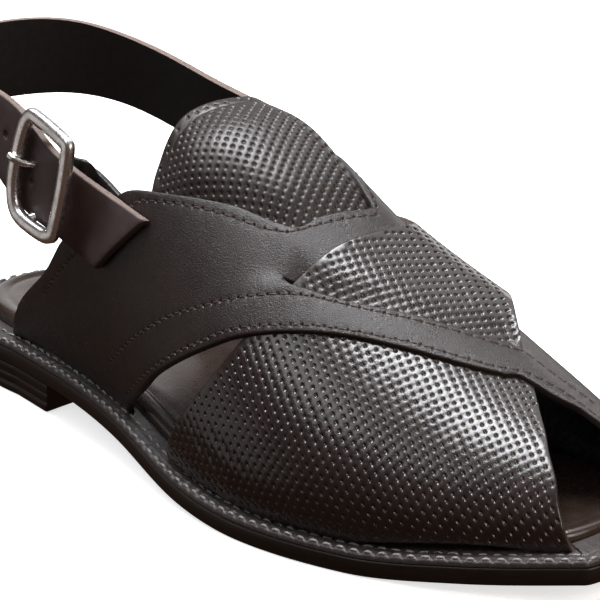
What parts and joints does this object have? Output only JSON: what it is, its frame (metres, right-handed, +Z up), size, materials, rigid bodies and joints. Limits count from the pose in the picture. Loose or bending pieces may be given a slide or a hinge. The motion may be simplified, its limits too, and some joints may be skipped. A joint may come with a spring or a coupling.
{
  "type": "crossed-strap sandal",
  "caption": "Open-toe leather sandal with crossed straps over the instep, a tongue pad, a buckled ankle strap, a stitched welt and a low stacked heel; right foot.",
  "frame": {"origin": "on the floor, under the middle of the heel block", "axes": "+X from the heel to the toe, +Y to the inner side of the right foot, +Z up"},
  "size_m": [0.2916, 0.1023, 0.1075],
  "materials": {
    "sole_leather": "waxed edge",
    "heel_leather": "waxed edge",
    "welt_leather": "satin",
    "insole_leather": "polished",
    "upper_leather": "satin",
    "tongue_leather": "polished",
    "strap_leather": "matt",
    "anchor_leather": "matt",
    "buckle_metal": "polished",
    "prong_metal": "polished"
  },
  "bodies": {
    "root": {"outsole": "sole_leather", "heel": "heel_leather", "welt": "welt_leather", "insole": "insole_leather", "upper": "upper_leather", "tongue": "tongue_leather", "ankle_strap": "strap_leather", "buckle_anchor": "anchor_leather", "buckle_frame": "buckle_metal", "buckle_prong": "prong_metal"}
  },
  "joints": []
}
